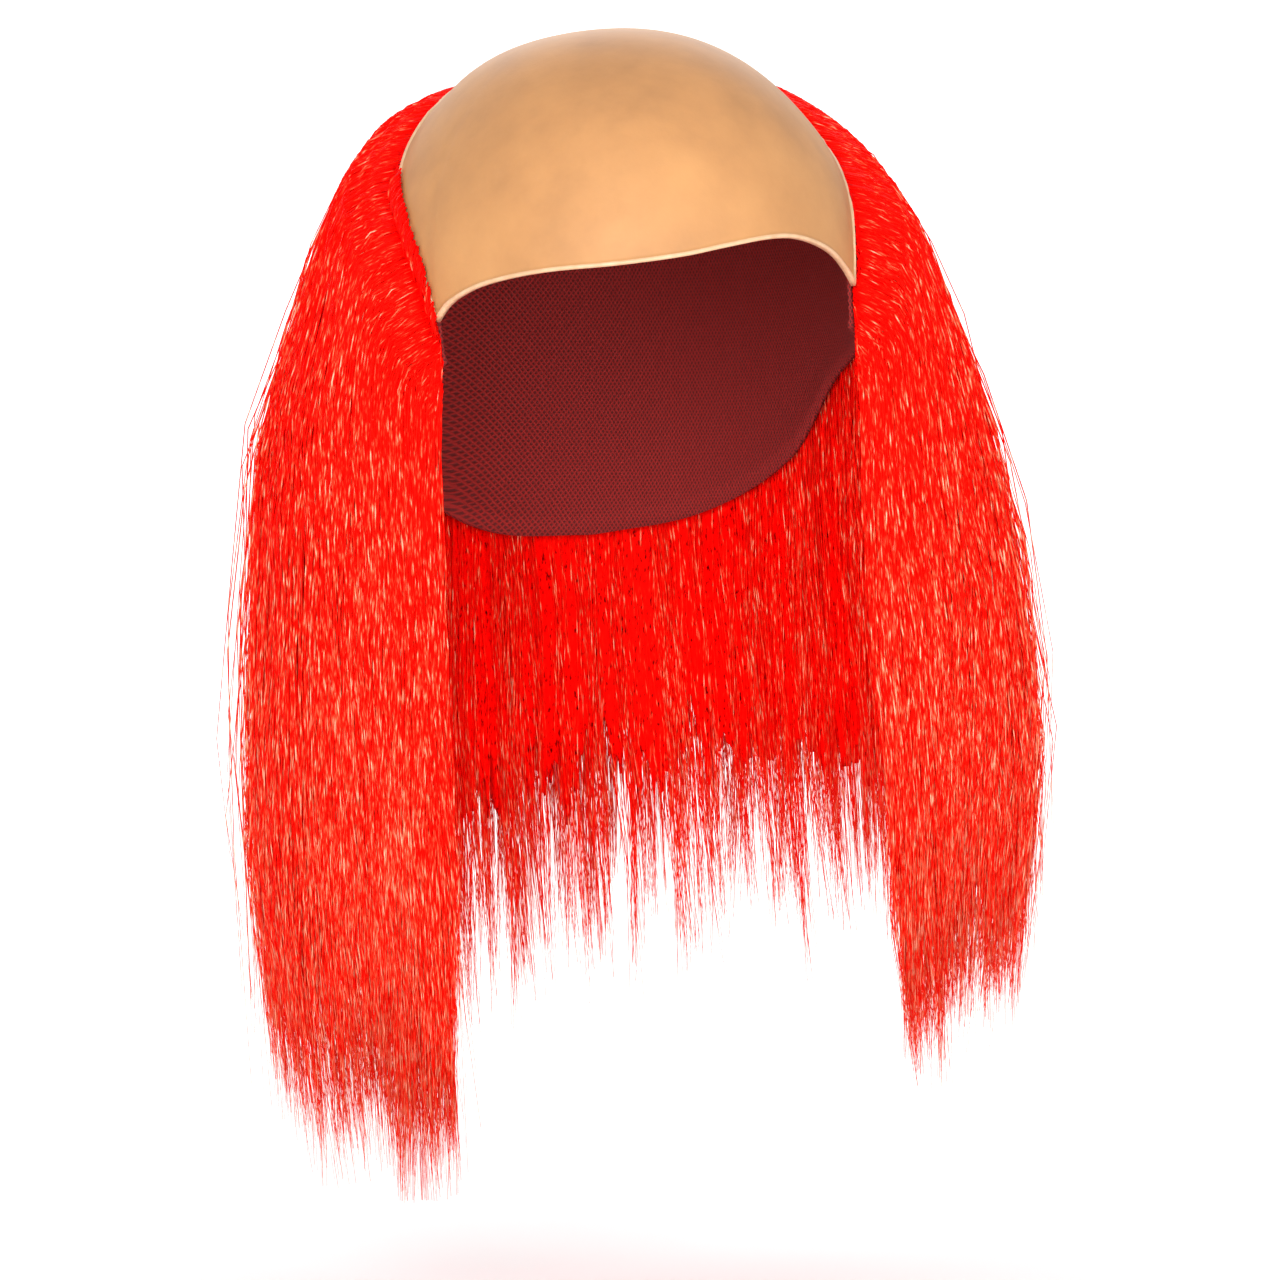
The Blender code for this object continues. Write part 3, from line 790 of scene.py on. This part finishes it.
def strand_paths(count, way_low, way_high, depth_low, depth_high, side, **changes):
    """Centre lines of strands, (count, points, 3), and a tone for each.

    way_low and way_high say where the roots lie, as shares of the way from the temple to the back.
    depth_low and depth_high are shares of the hair's depth, and changes go over STRAND_STYLE.
    """
    style = dict(STRAND_STYLE, **changes)
    locks = max(count // style["per_lock"], 1)
    lock_of = dice.integers(0, locks, count)
    lock_place = (np.arange(locks) + dice.uniform(0, 1, locks)) / locks
    lock_way = way_low + (way_high - way_low) * lock_place
    lock_rank = dice.uniform(0, 1, locks) ** style["depth_bias"]
    lock_depth = depth_low + (depth_high - depth_low) * lock_rank
    lock_tip = dice.normal(0.0, LOCK_TIP_SPREAD, locks)
    lock_phase = dice.uniform(0, 2 * math.pi, (locks, 2))
    lock_tone = dice.normal(0.0, LOCK_TONE_SPREAD, locks)
    back_span = 180.0 - TEMPLE_ANGLE
    way = lock_way[lock_of] + dice.normal(0.0, style["spread_angle"], count) / back_span
    way = way_low + np.abs(way - way_low)
    way = np.minimum(way, way_high)
    depth = lock_depth[lock_of] + dice.normal(0.0, style["spread_depth"], count)
    depth = np.clip(depth, depth_low * DEPTH_SLACK, 1.0)

    def combed(share, at_depth):
        """Where a strand hangs that has its root at a share of the way back."""
        near = np.clip(share / COMB_END, 0.0, 1.0)
        forward = COMB_END * near ** (1.0 + style["comb"] * at_depth)
        return np.where(share < COMB_END, forward, share)

    hang = TEMPLE_ANGLE + back_span * combed(way, depth)
    root_angle = TEMPLE_ANGLE + back_span * way
    lock_hang = TEMPLE_ANGLE + back_span * combed(lock_way, lock_depth)
    root = hairline_level(root_angle) + ROOT_STEP * edge_slant(root_angle, hairline_level)
    root += style["weft"] * (1.0 - depth) * dice.uniform(0, 1, count)
    tip = tip_level(hang, side) + lock_tip[lock_of] - OUTER_SHORT[side] * depth ** 2
    tip += style["tip_mean"] - dice.gamma(TIP_GAMMA, style["tip_spread"], count)
    tip = np.clip(tip, root + STRAND_SHORTEST, HAIR_DROP + TIP_SLACK)
    share = np.linspace(0.0, 1.0, style["points"])[None, :]
    share = EVEN_ROWS * share + (1.0 - EVEN_ROWS) * share ** ROW_POWER
    level = root[:, None] + (tip - root)[:, None] * share
    run = level - root[:, None]
    angle = hang[:, None] + (root_angle - hang)[:, None] * np.exp(-run / style["comb_run"])
    gathered = np.clip(share * (1.0 + GATHER_LAG) - GATHER_LAG, 0.0, 1.0)
    gather = style["gather"] * gathered ** 2
    angle = lock_hang[lock_of][:, None] * gather + angle * (1.0 - gather)
    lift = 1.0 - np.exp(-run / ROOT_SPRING)
    rise = ROOT_DEPTH + (1.0 - ROOT_DEPTH) * (1.0 - np.exp(-run / STRAND_SPRING))
    turned = np.where(side > 0, angle, 360.0 - angle)
    inner = inner_point(turned, level, lift)
    outer = outer_point(turned, level, lift)
    close = lock_depth[lock_of][:, None] * gather + depth[:, None] * (1.0 - gather)
    near_tip = np.clip((share - TIP_CLOSE_START) / (1.0 - TIP_CLOSE_START), 0.0, 1.0)
    thin = 1.0 - style["tip_close"] * near_tip ** TIP_CLOSE_POWER
    points = inner + (outer - inner) * (close * thin * rise)[..., None]
    phase = lock_phase[lock_of]
    sway = style["sway"] * np.clip(run / SWAY_RUN, 0.0, 1.0)
    own = dice.uniform(0, 2 * math.pi, (count, 2))
    wave = style["crimp"] * np.clip(run / CRIMP_RUN, 0.0, 1.0)
    length = dice.uniform(*CRIMP_LENGTH, (count, 1))
    for axis in range(2):
        shared = run * 2 * math.pi / SWAY_LENGTH + phase[:, axis:axis + 1]
        points[..., axis] += sway * np.sin(shared)
        points[..., axis] += wave * np.sin(run * 2 * math.pi / length + own[:, axis:axis + 1])
    stray = style["stray"] * dice.uniform(0.0, 1.0, (count, 1)) ** STRAY_POWER
    stray = stray * np.clip(run / style["stray_run"], 0.0, 1.0) ** STRAY_RUN_POWER
    points += puff_direction(turned) * stray[..., None]
    own_tone = dice.normal(0.0, STRAND_TONE_SPREAD, count)
    tone = np.clip(STRAND_TONE + lock_tone[lock_of] + own_tone + style["tone"], 0.0, 1.0)
    return points, tone


def strand_mesh(name, points, tone, radius, finish, root_shade=ROOT_SHADE):
    """Closed three-sided tubes along centre lines, joined into one mesh, thin at their tips."""
    count, steps = points.shape[:2]
    along = np.gradient(points, axis=1)
    along /= np.linalg.norm(along, axis=-1, keepdims=True)
    facing = tone * GUIDE_TURN
    guide = np.stack([np.cos(facing), np.sin(facing), np.zeros_like(tone)], -1)[:, None, :]
    across = np.cross(along, guide)
    across /= np.linalg.norm(across, axis=-1, keepdims=True) + TINY
    other = np.cross(along, across)
    share = np.linspace(0.0, 1.0, steps)[None, :]
    near_tip = np.clip((share - TAPER_START) / (1.0 - TAPER_START), 0.0, 1.0)
    thick = radius * dice.uniform(*THICKNESS_SPREAD, (count, 1))
    thick = thick * (1.0 - TAPER_SHARE * near_tip ** TAPER_POWER)
    rings = []
    for corner in range(3):
        turn = corner * 2 * math.pi / 3
        rings.append(points + (across * math.cos(turn) + other * math.sin(turn)) * thick[..., None])
    cloud = np.stack(rings, axis=2).reshape(-1, 3)
    base = (np.arange(count) * steps * 3)[:, None, None]
    step = (np.arange(steps - 1) * 3)[None, :, None]
    corner = np.arange(3)[None, None, :]
    after = (corner + 1) % 3
    one = base + step + corner
    two = base + step + after
    quads = np.stack([one, two, two + 3, one + 3], axis=-1).reshape(-1, 4)
    start = base[:, 0, :] + np.array([[0, 2, 1]])
    final = base[:, 0, :] + (steps - 1) * 3 + np.array([[0, 1, 2]])
    piece = array_mesh(name, cloud, np.concatenate([halves(quads), start, final]), finish)
    # tone along the strand: it rises towards the tip for denser painted glints and drops at the
    # root for painted shade
    tone_with_painted_light = tone[:, None] + GLINT_RISE * (share - TONE_PIVOT)
    tone_with_painted_light[:, 0] -= root_shade
    gaps = np.linalg.norm(np.diff(points, axis=1), axis=-1)
    place = np.concatenate([np.zeros((count, 1)), np.cumsum(gaps, axis=1)], axis=1)
    place += GLINT_SHIFT * (np.arange(count) * GOLDEN % 1.0)[:, None]
    store_on_points(piece, "strand_tone_and_painted_light", np.repeat(tone_with_painted_light.ravel(), 3))
    store_on_points(piece, "strand_place", np.repeat(place.ravel(), 3))
    return piece


hair_finish = hair_material("hair_strands", STRAND_TINT_SHADE_AND_GLINTS, shine=0.10, by_strand=True)

# way is where the roots lie, as shares of the way from the temple to the back, and depth how deep
# the strands lie in the hair, 1 at its outside. Counts are for one side of the head.
STRAND_GROUPS = (
    {"piece": "outer", "count": 2450, "way": (0.000, 0.50), "depth": (0.74, 1.00)},
    {"piece": "front", "count": 900, "way": (0.000, 0.09), "depth": (0.03, 1.00),
     "depth_bias": 0.85, "spread_angle": 0.8, "comb": 0.3},
    {"piece": "front", "count": 650, "way": (0.000, 0.020), "depth": (0.02, 0.75),
     "depth_bias": 1.1, "spread_angle": 0.3, "comb": 0.0},
    {"piece": "inner", "count": 480, "way": (0.005, 0.50), "depth": (0.015, 0.06),
     "depth_bias": 1.0, "spread_depth": 0.012, "comb": 0.0, "weft": 0.06, "tone": -0.15,
     "points": 9},
    {"piece": "inner", "count": 280, "way": (0.010, 0.50), "depth": (0.93, 1.00),
     "stray": 0.011, "per_lock": 3, "spread_depth": 0.05, "gather": 0.0, "crimp": 0.0008,
     "tone": 0.10, "points": 9},
    {"piece": "inner", "count": 100, "way": (0.000, 0.03), "depth": (0.05, 0.60),
     "stray": -0.012, "stray_run": 0.28, "per_lock": 3, "gather": 0.0, "comb": 0.0, "points": 9},
    {"piece": "back", "count": 1450, "way": (0.480, 1.01), "depth": (0.74, 1.00), "points": 10},
    {"piece": "back", "count": 480, "way": (0.480, 1.01), "depth": (0.015, 0.06),
     "depth_bias": 1.0, "spread_depth": 0.012, "comb": 0.0, "weft": 0.09, "tone": -0.15,
     "points": 10})


def build_strands(side, label):
    """Pieces of strands for one side. side is 1 at +X and -1 at -X."""
    made = []
    for piece_name in ("outer", "front", "inner", "back"):
        all_points, all_tones = [], []
        for group in STRAND_GROUPS:
            if group["piece"] != piece_name:
                continue
            changes = {key: value for key, value in group.items() if key in STRAND_STYLE}
            points, tone = strand_paths(
                group["count"], *group["way"], *group["depth"], side, **changes)
            all_points.append(points)
            all_tones.append(tone)
        name = "strands_" + piece_name + "_" + label
        made.append(strand_mesh(name, np.concatenate(all_points), np.concatenate(all_tones),
                                STRAND_RADIUS, hair_finish))
    return made


strand_pieces = build_strands(1, "right") + build_strands(-1, "left")
for piece in strand_pieces:
    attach(piece, "root")


# Root knots over the dome's edge on the -X side

KNOT_COUNT = 420
KNOT_STEPS = 8
KNOT_RADIUS = 0.00038
KNOTS_END = 81.0           # degrees from the face to the upper end of the row
KNOT_RISE = 0.0016         # height of the highest loops
KNOT_RISE_SPREAD = (0.2, 1.0)
KNOT_LAP = 0.0024          # distance over the dome at which the loops begin
KNOT_LAP_SPREAD = 0.0006
KNOT_LENGTH = 0.0075
KNOT_LENGTH_SPREAD = (0.7, 1.2)
KNOT_LEAN = 1.4            # degrees that a loop leans to one side along its length
KNOT_LEAN_SPREAD = (-0.3, 1.0)
KNOT_LEAN_PIVOT = 0.15
KNOT_STAND_OFF = 0.0009    # distance of a loop's feet from the dome
# the knots' tone is low: they are painted darker, as shade along the dome's edge, with few painted
# glints
KNOT_SHADED_TONE = 0.12
KNOT_TONE_SPREAD = 0.12
LUMP_DEPTH = 0.9           # degrees by which each bunch of roots juts out over the dome
LUMP_PITCH = 1.15          # degrees from one bunch to the next


def build_root_knots():
    """Short loops of fibre, side by side, that climb over the dome's edge and back."""
    angle = TEMPLE_ANGLE + (KNOTS_END - TEMPLE_ANGLE) * dice.uniform(0.0, 1.0, KNOT_COUNT)
    share = np.linspace(0.0, 1.0, KNOT_STEPS)[None, :]
    rise = KNOT_RISE * np.sin(math.pi * share) * dice.uniform(*KNOT_RISE_SPREAD, (KNOT_COUNT, 1))
    start = hairline_level(angle) - KNOT_LAP + dice.normal(0.0, KNOT_LAP_SPREAD, KNOT_COUNT)
    length = KNOT_LENGTH * dice.uniform(*KNOT_LENGTH_SPREAD, (KNOT_COUNT, 1))
    level = start[:, None] + length * share
    lean = KNOT_LEAN * (share - KNOT_LEAN_PIVOT) * dice.uniform(*KNOT_LEAN_SPREAD, (KNOT_COUNT, 1))
    lump = LUMP_DEPTH * np.abs(np.sin(angle * math.pi / LUMP_PITCH))
    turned = 360.0 - ((angle - lump)[:, None] + lean)
    points = skin_point(turned, sweep_of(level), DOME_WALL + KNOT_STAND_OFF + rise)
    # low tone: the knots are painted darker, as shade along the dome's edge
    tone = np.clip(dice.normal(KNOT_SHADED_TONE, KNOT_TONE_SPREAD, KNOT_COUNT), 0.0, 1.0)
    return strand_mesh("root_knots", points, tone, KNOT_RADIUS, hair_finish, 0.0)


knot_piece = build_root_knots()
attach(knot_piece, "root")
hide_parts("root_band")


# Stage, light and camera

FLOOR_GAP = 0.045          # distance of the floor below the solids
FLOOR_FRONT = -5.0
WALL_PLACE = 5.0
WALL_TOP = 4.4
SWEEP_RADIUS = 0.8         # round that joins the floor to the wall
SWEEP_STEPS = 8
STAGE_SIDE = 6.0

# Name, place, aim, size and power of each light
LIGHTS = (
    ("key", (-0.9, -2.2, 0.45), (0.0, 0.0, -0.14), (1.2, 1.2), 40.0),
    ("fill", (1.2, -2.1, 0.1), (0.0, 0.0, -0.16), (1.2, 1.6), 17.5),
    ("rim", (0.3, 1.6, 0.9), (0.0, 0.0, -0.14), (1.4, 0.8), 10.0),
    ("low_fill", (-0.1, -1.9, -0.22), (0.0, 0.0, -0.30), (1.4, 0.3), 10.0),
    ("wall_wash", (0.0, 2.4, 2.6), (0.0, 5.0, 0.2), (4.0, 1.0), 130.0))
WORLD_STRENGTH = 0.74

PHOTO_AZIMUTH = -10.0      # the photo is taken from 10 degrees off the front
CAMERA_DISTANCE = 2.0
PIXEL_SIZE = 0.00032       # metres of the object to one pixel of the photograph
PHOTO_SIZE = 1280
SEAT_PIXEL = (592.6, 32.4)     # where the origin lies, from the photo's upper left corner
SENSOR = 36.0


def build_stage():
    """Pale floor that sweeps up into a wall far behind."""
    floor_level = min(float(corner[2]) for corner in cad_box) - FLOOR_GAP
    sweep_start = WALL_PLACE - SWEEP_RADIUS
    profile = [(FLOOR_FRONT, 0.0), (sweep_start, 0.0)]
    for step in range(1, SWEEP_STEPS + 1):
        turn = step / SWEEP_STEPS * math.pi / 2
        profile.append((
            sweep_start + SWEEP_RADIUS * math.sin(turn), SWEEP_RADIUS * (1.0 - math.cos(turn))))
    profile.append((WALL_PLACE, WALL_TOP))
    points = []
    for side in (-STAGE_SIDE, STAGE_SIDE):
        points += [(side, along, floor_level + up) for along, up in profile]
    count = len(profile)
    faces = np.array([(row, row + count, row + count + 1, row + 1) for row in range(count - 1)])
    stage = array_mesh("stage", np.array(points), faces, stage_material())


def add_area_light(name, place, aim, size, power):
    light = bpy.data.lights.new(name, "AREA")
    light.shape = "RECTANGLE"
    light.size, light.size_y = size
    light.energy = power
    lamp = bpy.data.objects.new(name, light)
    lamp.location = place
    lamp.rotation_euler = (Vector(aim) - Vector(place)).to_track_quat("-Z", "Y").to_euler()
    bpy.context.scene.collection.objects.link(lamp)


def build_camera():
    """Camera that sees the wig in the place and size that it has in the photo."""
    azimuth = math.radians(PHOTO_AZIMUTH)
    right = Vector((math.cos(azimuth), math.sin(azimuth), 0.0))
    back = Vector((math.sin(azimuth), -math.cos(azimuth), 0.0))
    across = (PHOTO_SIZE / 2 - SEAT_PIXEL[0]) * PIXEL_SIZE
    down = (PHOTO_SIZE / 2 - SEAT_PIXEL[1]) * PIXEL_SIZE
    aim = right * across - Vector((0.0, 0.0, down))
    data = bpy.data.cameras.new("camera")
    data.sensor_width = SENSOR
    data.lens = SENSOR * CAMERA_DISTANCE / (PHOTO_SIZE * PIXEL_SIZE)
    camera = bpy.data.objects.new("camera", data)
    camera.location = aim + back * CAMERA_DISTANCE
    camera.rotation_euler = (aim - camera.location).to_track_quat("-Z", "Y").to_euler()
    bpy.context.scene.collection.objects.link(camera)
    bpy.context.scene.camera = camera


def build_light():
    """White studio light, with a wash on the wall behind."""
    world = bpy.data.worlds.new("studio")
    world.use_nodes = True
    background = world.node_tree.nodes["Background"]
    background.inputs["Color"].default_value = (1.0, 1.0, 1.0, 1.0)
    background.inputs["Strength"].default_value = WORLD_STRENGTH
    bpy.context.scene.world = world
    for name, place, aim, size, power in LIGHTS:
        add_area_light(name, place, aim, size, power)
    bpy.context.scene.view_settings.view_transform = "Standard"


build_stage()
build_light()
build_camera()
